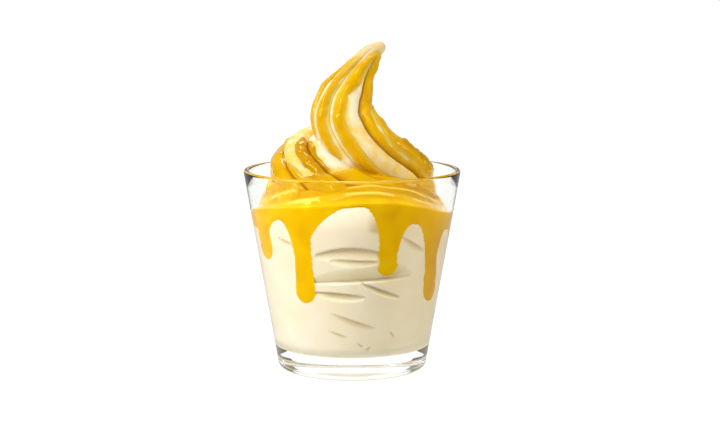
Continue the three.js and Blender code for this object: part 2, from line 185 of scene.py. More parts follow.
def store(made, name, values):
    """Keeps a number for each point of a mesh, for its material to read."""
    layer = made.data.attributes.get(name) or made.data.attributes.new(name, "FLOAT", "POINT")
    layer.data.foreach_set("value", np.asarray(values, np.float32).ravel())


def stored(made, name):
    values = np.zeros(len(made.data.vertices), np.float32)
    made.data.attributes[name].data.foreach_get("value", values)
    return values


def mend(made, *names):
    """Points that a join has made hold 0: each takes the mean of its neighbours' numbers."""
    edges = np.zeros(len(made.data.edges) * 2, np.int32)
    made.data.edges.foreach_get("vertices", edges)
    a, b = edges.reshape(-1, 2).T

    def neighbours(values):
        return np.bincount(a, values[b], len(values)) + np.bincount(b, values[a], len(values))

    for name in names:
        values = stored(made, name)
        for _ in range(2):
            total = neighbours(values)
            known = neighbours(values != 0)
            empty = (values == 0) & (known > 0)
            values[empty] = total[empty] / known[empty]
        store(made, name, values)


def plain(made):
    """The object with its modifiers applied."""
    bpy.context.view_layer.update()
    mesh = bpy.data.meshes.new_from_object(made.evaluated_get(bpy.context.evaluated_depsgraph_get()))
    made.modifiers.clear()
    made.data = mesh
    return made


def joined(first, others, operation="UNION"):
    """One closed surface from overlapping closed surfaces."""
    for other in others:
        cut = first.modifiers.new("join", "BOOLEAN")
        cut.solver = "MANIFOLD"
        cut.operation = operation
        cut.object = other
        plain(first)
    return first


def discard(*objects):
    for made in objects:
        bpy.data.objects.remove(made)


# ---------------------------------------------------------------- trees of nodes

def give(tree, node, values):
    """Feeds each named input from another node's output or sets it; a colour has three numbers."""
    for name, value in values.items():
        socket = node.inputs[name]
        if isinstance(value, bpy.types.NodeSocket):
            tree.links.new(value, socket)
        elif socket.type == "RGBA":
            socket.default_value = (*value, 1)
        else:
            socket.default_value = value


def add_node(tree, kind, values, **settings):
    made = tree.nodes.new(kind)
    for name, value in settings.items():
        setattr(made, name, value)
    give(tree, made, values)
    return made


# ---------------------------------------------------------------- the tumbler

def outer_radius(z):
    return mix(GLASS["foot_radius"], GLASS["rim_radius"], np.asarray(z, float) / GLASS["height"])


def inner_radius(z):
    z = np.asarray(z, float)
    wall = mix(GLASS["wall_bottom"], GLASS["wall_top"], np.clip(z / GLASS["height"], 0, 1))
    fillet = GLASS["floor_fillet"]
    drop = 1 - np.clip((z - GLASS["floor"]) / fillet, 0, 1)
    return outer_radius(z) - wall - fillet * (1 - np.sqrt(1 - drop * drop))


def tumbler_outline():
    """Distance from the axis and height, from the middle of the underside, outside, to the floor."""
    g = GLASS
    quarter = np.linspace(0, math.pi / 2, 9)
    half = np.linspace(0, math.pi, 13)
    under = [(g["ring_inner"] * t, g["punt"] * (1 - t ** g["punt_power"])) for t in np.linspace(0, 1, 10)]
    ring = [(g["ring_inner"] + g["ring_bevel"], 0.0), (g["heel_radius"] - g["heel_bevel"], 0.0)]
    heel_top = float(outer_radius(g["heel_height"]))
    heel = [
        (mix(g["heel_radius"], heel_top, math.sin(t)), g["heel_height"] * (1 - math.cos(t)))
        for t in quarter
    ]
    lip = g["wall_top"] / 2
    lip_height = g["height"] - lip
    lip_radius = float(outer_radius(lip_height))
    wall = [(float(outer_radius(z)), z) for z in np.linspace(g["heel_height"], lip_height, 14)[1:-1]]
    rim = [(lip_radius - lip * (1 - math.cos(t)), lip_height + lip * math.sin(t)) for t in half]
    top_of_fillet = g["floor"] + g["floor_fillet"]
    inside = [(float(inner_radius(z)), z) for z in np.linspace(lip_height, top_of_fillet, 14)[1:-1]]
    fillet = [(float(inner_radius(z)), z) for z in top_of_fillet - g["floor_fillet"] * np.sin(quarter)]
    floor = [(fillet[-1][0] * t, g["floor"]) for t in (0.8, 0.4, 0)]
    return under + ring + heel + wall + rim + inside + fillet + floor


AXIS_CIRCLE = 1.0     # the outline is swept round this circle and measured from it
SEAM = 0.02           # points closer than this are one


def lathe_tree(material):
    """Sweeps an outline round an upright circle. The outline's heights are counted downwards."""
    tree = bpy.data.node_groups.new("turned_glass", "GeometryNodeTree")
    face = tree.interface
    face.new_socket("Outline", in_out="INPUT", socket_type="NodeSocketGeometry")
    sides = face.new_socket("Sides", in_out="INPUT", socket_type="NodeSocketInt")
    circle_size = face.new_socket("Axis Circle", in_out="INPUT", socket_type="NodeSocketFloat")
    face.new_socket("Tumbler", in_out="OUTPUT", socket_type="NodeSocketGeometry")
    given = add_node(tree, "NodeGroupInput", {}).outputs
    circle = add_node(tree, "GeometryNodeCurvePrimitiveCircle", {
        "Resolution": given["Sides"], "Radius": given["Axis Circle"],
    })
    upright = add_node(tree, "GeometryNodeSetCurveNormal", {
        "Curve": circle.outputs["Curve"],
    }, mode="Z_UP")
    profile = add_node(tree, "GeometryNodeMeshToCurve", {"Mesh": given["Outline"]})
    sweep = add_node(tree, "GeometryNodeCurveToMesh", {
        "Curve": upright.outputs["Curve"], "Profile Curve": profile.outputs["Curve"],
    })
    closed = add_node(tree, "GeometryNodeMergeByDistance", {
        "Geometry": sweep.outputs["Mesh"], "Distance": SEAM * MM,
    })
    real = add_node(tree, "GeometryNodeRealizeInstances", {"Geometry": closed.outputs["Geometry"]})
    dressed = add_node(tree, "GeometryNodeSetMaterial", {
        "Geometry": real.outputs["Geometry"], "Material": material,
    })
    add_node(tree, "NodeGroupOutput", {"Tumbler": dressed.outputs["Geometry"]})
    return tree, sides.identifier, circle_size.identifier


def tumbler(name, material):
    """The tumbler: its outline swept round the axis by Geometry Nodes."""
    outline = [((r - AXIS_CIRCLE) * MM, -z * MM, 0) for r, z in reversed(tumbler_outline())]
    mesh = bpy.data.meshes.new(name)
    mesh.from_pydata(outline, [(k, k + 1) for k in range(len(outline) - 1)], [])
    made = linked(name, mesh)
    tree, sides, circle_size = lathe_tree(material)
    lathe = made.modifiers.new("lathe", "NODES")
    lathe.node_group = tree
    lathe[sides] = GLASS["sides"]
    lathe[circle_size] = AXIS_CIRCLE * MM
    return plain(made)


# ---------------------------------------------------------------- sauce against the glass

# Drips in order round the tumbler: azimuth, height of the tip, half width of the run and of its
# bead, and how many degrees it leans to the right for each mm it runs down. Then the arch that
# follows: its peak's azimuth and height, and how sharply it bends down on its near and far side.
DRIPS = table("azimuth tip run bead lean peak top near far", [
    (-63.5, 46.2, 5.4, 5.8, -0.05, -45.5, 63.4, 2, 2.6),
    (-30.4, 30.8, 4.4, 5.0, -0.07, 1.5, 70.6, 1.6, 3),
    (22.2, 42.8, 4.5, 4.4, 0.06, 37.5, 62.3, 2.6, 2.2),
    (56.4, 29.0, 4.7, 5.6, 0.36, 71, 57.4, 2.6, 2.4),
    (88, 44, 4.4, 4.4, 0.1, 102, 60, 2.2, 2.2),
    (118, 35, 3.9, 4.6, -0.1, 134, 60, 1.8, 2.4),
    (149, 49, 3.8, 4.2, 0.05, 168, 58.6, 2.4, 2.0),
    (184, 27, 4.1, 4.8, -0.05, 200, 60.6, 2.4, 1.8),
    (218, 43, 4.0, 4.3, 0.1, 240, 59, 1.8, 2.4),
    (262, 37, 4.2, 4.7, -0.15, 281, 58, 2.4, 2.2),
])
LEAN_BELOW = 52       # the height from which a drip leans
ARCH_DROP = 13.5      # from an arch's peak to where it meets the drips' straight sides
ARCH_FEET = 55        # the height at which an arch's ends are measured
ARCH_ROUNDING = 0.8

# Heights that rise and fall round the tumbler: the mean, and waves as size, how many go round and
# the azimuth of a crest.
POOL_AT_WALL = (67.2, [(3.8, 1, 0), (2, 2, 0), (0.7, 4, 22.5)])
POOL_AT_SWIRL = (77, [(1.2, 1, 30), (0.9, 3, 30)])
POOL_SHOULDER = (0.5, [(0.2, 1, -60)])    # the shoulder's height, as a share of the way up


def waving(line, azimuth):
    height, waves = line
    for size, times, crest in waves:
        height = height + size * np.cos(np.radians(times * (azimuth - crest)))
    return height


def half_turn(run, z):
    """The degrees that a run's half width takes up on the wall."""
    return np.degrees(run / inner_radius(z))


def foot_height(top, drip):
    return max(top - ARCH_DROP, drip["tip"] + 2 * drip["bead"])


def arches():
    """Each arch leaves one drip at its near foot and reaches the next at its far foot."""
    found = []
    for k, drip in enumerate(DRIPS):
        following = DRIPS[(k + 1) % len(DRIPS)]
        turn = 0 if k + 1 < len(DRIPS) else 360
        found.append(dict(
            drip,
            start=drip["azimuth"] + float(half_turn(drip["run"], ARCH_FEET)),
            end=following["azimuth"] + turn - float(half_turn(following["run"], ARCH_FEET)),
            near_foot=foot_height(drip["top"], drip),
            far_foot=foot_height(drip["top"], following),
        ))
    return found


ARCHES = arches()


def bend(share, power):
    """From 0 to 1, flat at the arch's peak and steep where it runs into a drip."""
    return 1 - (1 - share ** power) ** ARCH_ROUNDING


def arch_edge(arch, azimuth):
    before = np.clip((arch["peak"] - azimuth) / (arch["peak"] - arch["start"]), 0, 1)
    after = np.clip((azimuth - arch["peak"]) / (arch["end"] - arch["peak"]), 0, 1)
    drop = (arch["top"] - arch["near_foot"]) * bend(before, arch["near"])
    return arch["top"] - drop - (arch["top"] - arch["far_foot"]) * bend(after, arch["far"])


def collar_section(edge, wall, swirl, shoulder, grow, reach):
    """The sauce's section at one azimuth, as distance from the axis and height: down the glass to its
    edge, over the pool to the swirl, and back behind the curtain."""
    low = edge - grow
    lowest = min(edge + 1.2, wall - 1.6)
    face = [(float(inner_radius(z)) + reach, z) for z in np.linspace(low, wall - 1, 8)]
    top_radius = float(inner_radius(wall)) + reach
    crest = [
        (top_radius - 1.2, wall + grow),
        (mix(top_radius, 24, 0.35), mix(wall, swirl, shoulder) + grow),
        (21, swirl + grow),
        (15, 70),
    ]
    depth = SAUCE_THICKNESS + 2 * grow
    back = [
        (top_radius - depth - 1, max(wall - 3, lowest) - grow),
        (float(inner_radius(edge)) + reach - depth, lowest - grow),
    ]
    return face + crest + back


def collar(name, grow, reach):
    """The pool on the filling's shoulder, with the curtain that hangs from it to the arches."""
    shares = (1 - np.cos(np.linspace(0, math.pi, 23))) / 2
    rings = []
    for k, arch in enumerate(ARCHES):
        next_start = ARCHES[(k + 1) % len(ARCHES)]["start"] + (360 if k + 1 == len(ARCHES) else 0)
        under_arch = mix(arch["start"], arch["end"], shares)
        over_drip = np.linspace(arch["end"], next_start, 10)[1:-1]
        for azimuth in np.concatenate([under_arch, over_drip]):
            edge = float(arch_edge(arch, azimuth))
            wall = float(waving(POOL_AT_WALL, azimuth))
            swirl = float(waving(POOL_AT_SWIRL, azimuth))
            shoulder = waving(POOL_SHOULDER, azimuth)
            section = collar_section(edge, wall, swirl, shoulder, grow, reach)
            rings.append([around(azimuth, r, z) for r, z in section])
    return loop(name, rings)


def drip(name, k, grow, reach):
    """One drip, flat against the glass and rounded on the ice cream's side."""
    row = ARCHES[k]
    bead = row["bead"]
    head = max(row["near_foot"], ARCHES[k - 1]["far_foot"]) + 4
    low = row["tip"] + bead
    rows = [-math.cos(t) for t in np.linspace(0.12, math.pi / 2, 9)]
    heights = [low + s * (bead + grow) for s in rows] + list(np.linspace(low + 0.7, head, 14))
    arc = np.linspace(0, math.pi, 15)
    across = np.concatenate([np.linspace(-1, 1, 9)[:-1], np.cos(arc)[:-1]])
    inward = np.concatenate([np.zeros(8), np.sin(arc)[:-1]])
    rings = []
    for z in heights:
        below = max(0.0, (low - z) / (bead + grow))
        swell = math.exp(-(((z - low) / (1.5 * bead)) ** 2))
        half = (mix(row["run"], bead, swell) + grow) * math.sqrt(max(0.0, 1 - below ** 2))
        thickness = (SAUCE_THICKNESS + 0.5 * swell + 2 * grow) * min(1, half / row["run"] + 0.2)
        lean = row["lean"] * max(0.0, LEAN_BELOW - z)
        turned = row["azimuth"] + lean + half_turn(across * half, z)
        rings.append(around(turned, inner_radius(z) + reach - inward * thickness, z))
    return skin(name, np.mean(rings[0], 0), rings, np.mean(rings[-1], 0))


def wall_sauce(name, grow, reach):
    """The collar joined with its drips, grown by some mm and reaching some mm into the glass."""
    runs = [drip(f"run_{k}", k, grow, reach - 0.01) for k in range(len(DRIPS))]
    made = joined(collar(name, grow, reach), runs)
    discard(*runs)
    return made


# The pool's relief: ripples that fan outwards from the front, one tall fold on the right with a
# trough on its inner side, and a crumpled patch on the left.
RIPPLE = dict(spacing=4.6, middle=5, fan=2.0, height=1.0, sharpness=1.6, wander=0.35)
POOL_FOLD = dict(
    start=14, end=84, inner=25.5, outer=35, width=1.5, height=1.7,
    trough=2.2, trough_width=1.3, trough_depth=0.9,
)
CRUMPLE = dict(azimuth=-60, half=26, distance=29.5, reach=6.5, size=3.0, height=2.2)
RELIEF_STARTS = 0.6       # how far from the glass the relief starts and is at its full height
RELIEF_FULL = 3.0


def ripples(points, azimuth, inset):
    """1 on a ripple's crest and 0 between two."""
    fanned = RIPPLE["fan"] * (1 - np.cos(np.radians(azimuth - RIPPLE["middle"])))
    phase = inset / RIPPLE["spacing"] + fanned + RIPPLE["wander"] * noise(points, 11, 21)
    return (0.5 + 0.5 * np.cos(2 * math.pi * phase)) ** RIPPLE["sharpness"]


def tall_fold(azimuth, distance):
    """How far along the fold and off its crest each point lies, and whether it is beside the fold."""
    fold = POOL_FOLD
    along = (azimuth - fold["start"]) / (fold["end"] - fold["start"])
    off = (distance - mix(fold["inner"], fold["outer"], np.clip(along, 0, 1))) / fold["width"]
    return along, off, smooth(0, 0.2, along) * smooth(-1.1, -0.9, -along)


def pool_relief(points):
    """Height to add on the pool's top, the shade painted on its sauce, and how pale it is where the
    sauce is thin and where a highlight is painted on a ripple's crest.
    """
    distance = np.hypot(points[:, 0], points[:, 1])
    azimuth = azimuth_of(points)
    inset = inner_radius(points[:, 2]) - distance
    inside = smooth(RELIEF_STARTS, RELIEF_FULL, inset)

    ridge = ripples(points, azimuth, inset)
    height = RIPPLE["height"] * ridge * (0.7 + 0.6 * noise(points, 8, 22))
    along, off, beside = tall_fold(azimuth, distance)
    fold = POOL_FOLD
    height = height * (1 - 0.6 * beside) + beside * fold["height"] * hump(off)
    height -= fold["trough_depth"] * beside * hump((off + fold["trough"]) / fold["trough_width"])
    patch = hump((azimuth - CRUMPLE["azimuth"]) / CRUMPLE["half"])
    patch = patch * hump((distance - CRUMPLE["distance"]) / CRUMPLE["reach"])
    crumple = np.clip(1 - 2 * np.abs(noise(points, CRUMPLE["size"], 23)), 0, 1)
    height += CRUMPLE["height"] * patch * crumple

    # Paler on the ripples' crests: the sauce thins there, and a highlight is painted on them.
    thin_crest_and_highlight = smooth(0.55, 0.85, ridge) * smooth(0.05, 0.3, noise(points * (1, 1, 0.4), 9, 24))
    cream_shows = beside * hump((off + 2.4) / 1.2) * smooth(0.3, 0.5, along)
    thin_and_highlight = np.maximum(thin_crest_and_highlight, cream_shows) * inside
    # Painted shade: darker in the ripples' troughs, where the sauce is also deeper, away from the glass
    # and towards the right.
    shade_and_pooling = 0.02 + (0.15 + 0.45 * (1 - ridge)) * inside + 0.3 * smooth(10, 65, azimuth)
    return height * inside, shade_and_pooling * (1 - thin_and_highlight) * (1 - 0.5 * patch), thin_and_highlight


# ---------------------------------------------------------------- the filling in the glass

# Folds in the ice cream, seen through the glass: azimuth and height of the middle, half length in
# degrees, how far the fold's edge arches up in its middle, its slope in mm for each degree, how far
# it reaches from the edge (down where it is negative), and how far it stands off the glass. Each fold
# also has shade painted into it; a fold that is pressed flat has no depth and is only a slit of
# painted shade.
FOLDS = table("azimuth z half arch slope reach depth", [
    (-2, 53.4, 20, 2.8, 0.02, -6.0, 3.0),
    (1, 49.6, 15, 0.4, -0.02, -3.4, 1.8),
    (7, 40.6, 33, -0.4, 0.03, 6.4, 3.0),
    (26, 42.6, 10, -1.2, 0.1, 5.6, 2.4),
    (19, 37.6, 14, 0.2, -0.24, -2.6, 2.6),
    (-8, 36.0, 17, 0.6, -0.05, -3.6, 2.4),
    (1, 25.4, 16, 0.3, -0.2, -3.0, 0),
    (-10, 19.9, 7, 0.2, -0.19, -1.8, 0),
    (-42, 56.2, 7, 0.2, -0.17, -2.0, 0),
    (11, 62.8, 6, 0.2, -0.38, -2.8, 0),
    (39, 55.6, 10, 0.2, -0.35, -3.2, 0),
    (30, 19.2, 2.6, 0.2, -0.5, -1.8, 0),
    (6, 15.4, 2.6, 0.1, -0.3, -1.6, 0),
    (12, 13.9, 2.2, 0.1, 0.3, -1.6, 0),
    (130, 41, 22, 1.2, 0.04, -3.6, 2.2),
    (170, 50, 22, 1.6, -0.05, -3.4, 2.2),
    (205, 33, 26, 0.8, 0.05, 3.8, 2.2),
    (238, 37, 18, 1.0, -0.06, -3.2, 1.8),
])
FOLD_ENDS = 0.35      # how wide a fold is at its ends, as a share of its middle
FOLD_SHADE = 0.5        # how much shade is painted into a fold, where a slit has 1

# The filling's rows of points: fine azimuths in front, coarse ones behind, and heights up the wall.
FINE_AZIMUTHS = np.arange(-80, 80, 0.6)
COARSE_AZIMUTHS = np.arange(80, 280, 2.0)
FILLET_ROWS = np.linspace(9.4, 12.8, 6)
WALL_ROWS = np.arange(13.2, 61.5, 0.45)


def folded(azimuth, z):
    """How far the ice cream stands off the glass, and how much shade is painted on it: each fold is
    sharp at its edge and fades away."""
    depth = np.zeros(np.broadcast(azimuth, z).shape)
    shade_and_tan = depth
    for fold in FOLDS:
        turned = within_half_turn(azimuth - fold["azimuth"])
        along = np.clip(1 - (turned / fold["half"]) ** 2, 0, 1)
        edge = fold["z"] + fold["slope"] * turned + fold["arch"] * (along - 0.5)
        away = (z - edge) / (fold["reach"] * mix(FOLD_ENDS, 1, along))
        hollow = smooth(0, 0.1, away) * np.clip(1 - away, 0, 1) ** 1.1 * np.sqrt(along)
        depth = np.maximum(depth, fold["depth"] * hollow)
        shade_and_tan = np.maximum(shade_and_tan, (FOLD_SHADE if fold["depth"] else 1.0) * hollow)
    return depth, shade_and_tan


def filling(name):
    """The ice cream in the glass, from the tumbler's floor up the wall and over its shoulder."""
    azimuths = np.concatenate([FINE_AZIMUTHS, COARSE_AZIMUTHS])
    bottom = GLASS["floor"] - WETTING
    under = [around(azimuths, inner_radius(GLASS["floor"]) * t, bottom) for t in (0.3, 0.7, 0.95)]
    sides = []
    fold_shades = []
    for z in np.concatenate([FILLET_ROWS, WALL_ROWS]):
        hollow, shade_and_tan = folded(azimuths, z)
        fold_shades.append(shade_and_tan)
        sides.append(around(azimuths, inner_radius(z) + WETTING - hollow, z))
    level = waving(POOL_AT_WALL, azimuths) - FILL_BELOW_POOL
    top = [
        around(azimuths, inner_radius(level - 0.6) + WETTING, level - 0.6),
        around(azimuths, inner_radius(level) - 1.4, level),
        around(azimuths, 20, 74),
        around(azimuths, 7, FILL_CROWN - 2),
    ]
    made = skin(name, (0, 0, bottom), under + sides + top, (0, 0, FILL_CROWN))
    flat = np.zeros_like(azimuths)
    rows = [flat] * len(under) + fold_shades + [flat] * len(top)
    # the shade painted into the folds, for the material to read
    store(made, "shade_and_tan", np.concatenate([[0], np.ravel(rows), [0]]))
    return made


# ---------------------------------------------------------------- the rope of the swirl

# The rope's middle line from its buried end: most of a turn of a coil, as azimuth, distance from
# the axis, height and the rope's radius.
COIL = np.array([
    [480, 20, 57, 11],
    [450, 23, 64.5, 13],
    [420, 22, 65, 13.2],
    [390, 21.5, 66.4, 13.4],
    [360, 20.5, 69.4, 13.8],
    [330, 18.8, 73.8, 14.8],
    [300, 17.6, 77.4, 15.4],
    [270, 17, 80, 15.4],
    [240, 15.4, 82.4, 15.4],
    [180, 16.5, 81.6, 14.6],
    [120, 18, 78.4, 13.2],
])
COIL_STEP = 30

# Then the bend into the horn and up its middle: across, towards the back, height and radius.
HORN = np.array([
    [20.2, -1.0, 76.0, 12.0],
    [12.8, -7.6, 81.8, 12.8],
    [5.4, -10.6, 88.2, 13.2],
    [-0.2, -8.6, 95.2, 13.4],
    [-3.2, -6.2, 101.8, 13.0],
    [-3.0, -4.0, 108.2, 11.2],
    [-0.8, -2.4, 113.6, 9.2],
    [1.8, -1.4, 118.8, 6.7],
    [4.6, -0.8, 122.9, 5.3],
    [7.8, -0.4, 127.0, 4.0],
    [10.8, -0.2, 129.2, 2.8],
    [13.3, -0.2, 130.3, 2.1],
])


def rope_places():
    azimuths = np.arange(COIL[0, 0], COIL[-1, 0] - 1, -COIL_STEP)
    across = [np.interp(-azimuths, -COIL[:, 0], COIL[:, i]) for i in (1, 2, 3)]
    coil = np.column_stack([around(azimuths, across[0], across[1]), across[2]])
    return np.concatenate([coil, HORN])


PLACES = rope_places()
LAST_PLACE = len(PLACES) - 1
PLACE_LENGTH = 8          # mm of rope from one place to the next
RINGS_PER_PLACE = 12
STRETCHES = [(0.3, 7.0), (6.3, 13.6), (12.9, 24.0)]    # from place to place, each laid over the last
HORN_BASE = 14            # the place where the horn leaves the coil
TIP_ROUNDING = 0.7        # the part of a place over which the tip closes
TIP_LOBES = (0.4, 3.6)    # places before the tip where the lobes end and where they are still full

# How the lobes turn about the rope: degrees down the horn's bend and round the coil's back, and
# degrees for each place round its front.
BEND_TWIST = -54
BACK_TWIST = -59
COIL_TWIST = 19.5
COIL_TWIST_ENDS = 6.8

# The grooves between the rope's lobes: degrees round it, and depth as a share of its radius.
GROOVES = [(-68, 0.17), (-27, 0.2), (41, 0.36), (104, 0.27), (152, 0.25), (200, 0.3), (246, 0.22)]
GROOVE_WIDTH = 5          # degrees to the side over which a groove's painted shade on the sauce, and its stain on the ice cream, fade
ROUGHNESS = [(9, 0.28), (4, 0.16), (1.8, 0.07)]    # sizes and heights of the rope's small lumps


def rope_middle(place):
    """Points on the rope's middle line: a curve through its places with no loops or overshoot."""
    p = PLACES[:, :3]
    p = np.concatenate([[2 * p[0] - p[1]], p, [2 * p[-1] - p[-2]]])
    place = np.clip(np.asarray(place, float), 0, LAST_PLACE)
    i = np.minimum(place.astype(int), LAST_PLACE - 1)
    f = (place - i)[..., None]
    a, b, c, d = (p[i + k] for k in range(4))
    gaps = [np.linalg.norm(v - u, axis=-1, keepdims=True) ** 0.5 for u, v in ((a, b), (b, c), (c, d))]
    t1 = gaps[1] * ((b - a) / gaps[0] - (c - a) / (gaps[0] + gaps[1]) + (c - b) / gaps[1])
    t2 = gaps[1] * ((c - b) / gaps[1] - (d - b) / (gaps[1] + gaps[2]) + (d - c) / gaps[2])
    return b + t1 * f + (3 * (c - b) - 2 * t1 - t2) * f ** 2 + (2 * (b - c) + t1 + t2) * f ** 3


def rope_radius(place):
    r = PLACES[:, 3]
    i = np.minimum(np.asarray(place).astype(int), LAST_PLACE - 1)
    f = place - i
    a, b, c, d = (r[np.clip(i + k, 0, LAST_PLACE)] for k in (-1, 0, 1, 2))
    cubic = 2 * b + (c - a) * f + (2 * a - 5 * b + 4 * c - d) * f ** 2
    return (cubic + (3 * b - a - 3 * c + d) * f ** 3) / 2


def twist(place):
    """Degrees by which the lobes turn about the rope, down the horn's bend and round the coil."""
    bend_share = smooth(-HORN_BASE - 2.2, -HORN_BASE + 1.4, -place)
    back_share = smooth(-HORN_BASE + 1.4, -HORN_BASE + 7, -place)
    coil = COIL_TWIST * np.minimum(0, place - COIL_TWIST_ENDS)
    return BEND_TWIST * bend_share + BACK_TWIST * back_share + coil


def groove_rows():
    """The grooves, with the first again a full turn on."""
    first = GROOVES[0]
    return np.array(GROOVES + [(first[0] + 360, first[1])])


def lobed(angle, share):
    """The rope's cross-section, rounded lobes between sharp grooves, as a share of its radius."""
    edges, depths = groove_rows().T
    turned = (angle - edges[0]) % 360 + edges[0]
    k = np.clip(np.searchsorted(edges, turned, side="right") - 1, 0, len(GROOVES) - 1)
    s = (turned - edges[k]) / (edges[k + 1] - edges[k])
    depth = share * mix(depths[k], depths[k + 1], s)
    return 1 - depth * (1 - np.sqrt(np.clip(4 * s * (1 - s), 0, 1)))


def groove_share(angle):
    """1 at the bottom of a groove between lobes, 0 well away from one."""
    away = [np.abs(within_half_turn(angle - edge)) for edge, depth in GROOVES]
    return np.exp(-np.min(away, axis=0) / GROOVE_WIDTH)


def section_angles(points=20):
    """Angles round the rope, closest together at the grooves."""
    edges = groove_rows()[:, 0]
    shares = (1 - np.cos(np.linspace(0, math.pi, points + 1)[:-1])) / 2
    return np.concatenate([mix(a, b, shares) for a, b in zip(edges, edges[1:])])


def unit(vectors):
    return vectors / np.linalg.norm(vectors, axis=-1, keepdims=True)


def rope_axes(places):
    """The rope's middle and two directions across it: outwards and upright on the coil, towards
    the front and the side on the horn."""
    centre = rope_middle(places)
    tangent = unit(rope_middle(places + 0.002) - rope_middle(places - 0.002))
    outward = unit(centre * (1, 1, 0))
    turn = smooth(HORN_BASE - 0.5, HORN_BASE + 3, places)[:, None]
    one = mix(outward, np.array([0, -1, 0]), turn)
    one = unit(one - tangent * (one * tangent).sum(-1, keepdims=True))
    return centre, one, np.cross(tangent, one)


def rope_rings(places, offset):
    """Rings of points on the rope's surface, moved outwards by what `offset` gives, in mm, and the
    numbers that the materials need for each point."""
    angles = section_angles()
    centre, one, two = rope_axes(places)
    rounding = np.clip((places - LAST_PLACE + TIP_ROUNDING) / TIP_ROUNDING, 0, 0.99)
    radius = (rope_radius(places) * np.sqrt(1 - rounding ** 2))[:, None]
    share = smooth(-LAST_PLACE + TIP_LOBES[0], -LAST_PLACE + TIP_LOBES[1], -places)[:, None]
    turned = np.radians(angles + twist(places)[:, None])[..., None]
    direction = one[:, None] * np.cos(turned) + two[:, None] * np.sin(turned)
    surface = centre[:, None] + direction * (radius * lobed(angles, share))[..., None]
    rough = sum(height * noise(surface, size, seed) for seed, (size, height) in enumerate(ROUGHNESS, 1))
    rough = rough * smooth(0, 6, radius)
    along = places[:, None]
    raised, depth = offset(along, angles, surface, radius)
    # 'groove' marks the grooves, where shade is painted onto the sauce and the ice cream is stained
    return surface + direction * (rough + raised)[..., None], {
        "sauce_depth": depth,
        "groove": groove_share(angles) * smooth(0.05, 0.9, share) + 0 * depth,
        "film": strongest(FILMS, along, angles, radius),
        "rumple": strongest(RUMPLES, along, angles, radius),
    }


def rope(name, offset):
    """The whole rope as one closed surface."""
    made = []
    for k, (start, end) in enumerate(STRETCHES):
        places = np.linspace(start, end, int((end - start) * RINGS_PER_PLACE))
        rings, kept = rope_rings(places, offset)
        first = rope_middle(max(0, start - 0.5))
        last = rope_middle(min(LAST_PLACE, end + 0.5))
        stretch = skin(f"{name}_{k}", first, rings, last)
        for key, values in kept.items():
            store(stretch, key, np.concatenate([[0], values.ravel(), [0]]))
        made.append(stretch)
    whole = joined(made[0], made[1:])
    discard(*made[1:])
    whole.name = name
    return whole


# ---------------------------------------------------------------- sauce on the swirl

# Where the sauce lies on the rope: place along it, and the angles round it of the sauce's two edges.
STREAMS = {
    "outer lobe": [
        (16.6, -84, -76), (18.5, -90, -66), (19.5, -86, -56), (20.4, -80, -48), (21.2, -64, -48),
    ],
    "tongue": [
        (15.3, -46, -35), (15.7, -50, -32), (17, -56, -29), (18, -47, -29), (19, -54, -31),
        (20, -44, -32), (21.3, -40, -33),
    ],
    "main": [
        (12.4, -18, 0), (14, -16, 3), (15, -20, 5), (16, -18, 5), (17, -18, 8), (18, -19, 7),
        (18.8, -20, 12), (19.4, -20, 24), (20.5, -21, 27), (21.5, -14, 34), (22.2, 2, 48), (22.8, 22, 56),
    ],
    "deep groove": [
        (12.4, 38, 58), (14, 38, 52), (15, 40, 56), (16, 40, 60), (17, 40, 66), (18, 38, 90),
        (19, 36, 100), (20.5, 34, 110), (22, 42, 110), (22.8, 56, 110),
    ],
    "ridge": [
        (12.4, 50, 84), (13.4, 52, 86), (14.6, 57, 86), (15.6, 63, 86), (16.6, 66, 80), (17.2, 68, 74),
    ],
    "back coil": [
        (9.6, 104, 106), (10.4, 86, 118), (11.5, 66, 130), (13, 62, 140), (14, 64, 140), (15, 66, 125),
        (15.6, 72, 100), (16.2, 82, 88),
    ],
    "back": [(15.2, 118, 134), (18, 112, 130), (20.5, 106, 136), (22.4, 96, 140)],
    "back middle": [(15.2, 164, 180), (18, 162, 188), (21, 160, 196), (22.6, 150, 206)],
    "back left": [(15.8, 216, 230), (18, 212, 236), (21, 206, 240)],
    "puddle": [(4.8, 182, 206), (5.4, 178, 208), (6.0, 178, 210), (6.4, 182, 208), (7.0, 190, 202)],
    "left coil": [
        (5.0, 124, 166), (5.6, 122, 168), (6.1, 120, 158), (6.5, 122, 150), (7.0, 118, 166),
        (8.5, 110, 168), (9.6, 112, 150), (10.6, 126, 140), (11.2, 131, 134),
    ],
}

# Where a film of sauce tints the ice cream: places, angles, and how strongly.
FILMS = [
    ((3, 11), (96, 200), 0.85),
    ((12, 22.6), (41, 118), 1.0),
    ((20.8, 24.5), (-110, 60), 0.5),
    ((13, 20.4), (-100, -58), 0.35),
    ((13, 20), (-30, -18), 0.42),
    ((11.5, 16.2), (2, 42), 0.62),
    ((14, 22), (150, 246), 0.5),
]
# Where the sauce lies crumpled, on the coil's back and in the hollow at its left: places, angles,
# and how high the crumples stand.
RUMPLES = [
    ((11.2, 14.4), (72, 150), 1.3),
    ((4.7, 7.2), (168, 214), 1.1),
]
RUMPLE_SIZE = 3.2
HIGHEST_RUMPLE = 1.4

COAT_EDGE = (82.5, [(2.5, 1, 60), (1.6, 3, 70 / 3)])     # how high the poured sauce covers the coil
LAST_TURN_DROP = 14                                      # it reaches less high on the rope's last turn
BURIED = 0.03                                            # the coat's edge lies this deep
DEEPEST = 0.7                                            # and away from the streams it sinks this deep


